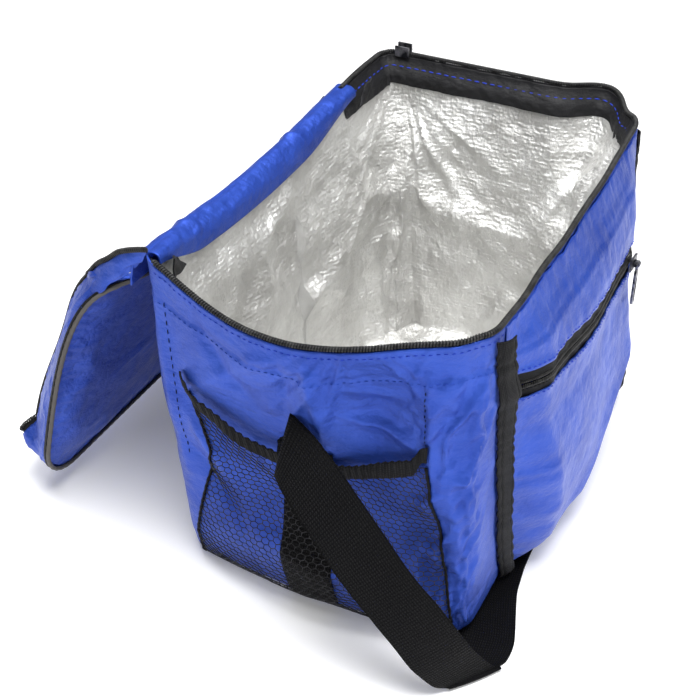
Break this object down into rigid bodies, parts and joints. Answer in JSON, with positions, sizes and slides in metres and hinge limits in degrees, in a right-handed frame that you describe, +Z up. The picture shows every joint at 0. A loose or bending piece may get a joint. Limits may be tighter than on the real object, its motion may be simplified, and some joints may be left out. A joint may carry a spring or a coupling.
{
  "type": "insulated cooler bag",
  "caption": "Soft insulated cooler bag with a zipped box lid folded open, a zipped front pocket, mesh end pockets and a webbing carry strap.",
  "frame": {"origin": "centre of the base's underside, on the table", "axes": "+X along the long side towards the far end, -Y towards the front pocket, +Y towards the lid's hinge, +Z up"},
  "size_m": [0.4112, 0.4245, 0.2701],
  "materials": {
    "outer_fabric": "satin",
    "foam": "matte",
    "foil": "gloss",
    "black_binding": "matte",
    "zip_tape": "matte",
    "zip_coil": "satin",
    "zip_metal": "satin",
    "mesh": "matte",
    "elastic": "matte",
    "webbing": "matte",
    "piping": "satin"
  },
  "bodies": {
    "bag": {"front_panel": "outer_fabric", "back_panel": "outer_fabric", "near_end_panel": "outer_fabric", "far_end_panel": "outer_fabric", "base_panel": "outer_fabric", "foam_front": "foam", "foam_back": "foam", "foam_near": "foam", "foam_far": "foam", "foam_base": "foam", "foil_liner": "foil", "rim_facing": "black_binding", "rim_zip_tape": "zip_tape", "rim_zip_coil": "zip_coil", "zip_end_tab_near": "black_binding", "zip_end_tab_far": "black_binding", "binding_near": "black_binding", "binding_far": "black_binding", "pocket_upper_panel": "outer_fabric", "pocket_lower_panel": "outer_fabric", "pocket_tape_upper": "zip_tape", "pocket_tape_lower": "zip_tape", "pocket_coil_upper": "zip_coil", "pocket_coil_lower": "zip_coil", "mesh_pocket_near": "mesh", "mesh_pocket_far": "mesh", "mesh_trim_near": "elastic", "mesh_trim_far": "elastic", "strap_anchor_near": "webbing", "strap_anchor_far": "webbing"},
    "hinge_band": {"hinge_band": "outer_fabric"},
    "lid": {"lid_top_panel": "outer_fabric", "lid_foam": "foam", "lid_foil": "foil", "lid_gusset": "outer_fabric", "lid_piping": "piping", "lid_zip_tape": "zip_tape", "lid_zip_coil": "zip_coil"},
    "shoulder_strap": {"shoulder_strap": "webbing"},
    "main_slider": {"main_slider": "zip_metal"},
    "main_pull": {"main_pull": "zip_metal"},
    "pocket_slider": {"pocket_slider": "zip_metal"},
    "pocket_pull": {"pocket_pull": "zip_metal"}
  },
  "joints": [
    {"name": "band_fold", "type": "hinge", "parent": "bag", "child": "hinge_band", "pos_m": [0, 0.118, 0.266], "axis": [1, 0, 0], "range_deg": [0, 150]},
    {"name": "lid_fold", "type": "hinge", "parent": "hinge_band", "child": "lid", "pos_m": [0, 0.1375, 0.23222], "axis": [1, 0, 0], "range_deg": [0, 96]},
    {"name": "strap_swing", "type": "hinge", "parent": "bag", "child": "shoulder_strap", "pos_m": [0, 0, 0.172], "axis": [-1, 0, 0], "range_deg": [0, 150]},
    {"name": "main_zip_travel", "type": "slide", "parent": "bag", "child": "main_slider", "axis": [0, -1, 0], "range_m": [0, 0.12]},
    {"name": "main_pull_swing", "type": "hinge", "parent": "main_slider", "child": "main_pull", "pos_m": [0.181, 0.098, 0.264], "axis": [0, -1, 0], "range_deg": [0, 120]},
    {"name": "pocket_zip_travel", "type": "slide", "parent": "bag", "child": "pocket_slider", "axis": [-0.9945, 0, 0.1045], "range_m": [0, 0.185]},
    {"name": "pocket_pull_swing", "type": "hinge", "parent": "pocket_slider", "child": "pocket_pull", "pos_m": [0.07459, -0.1375, 0.18416], "axis": [-1, 0, 0], "range_deg": [0, 150]}
  ]
}
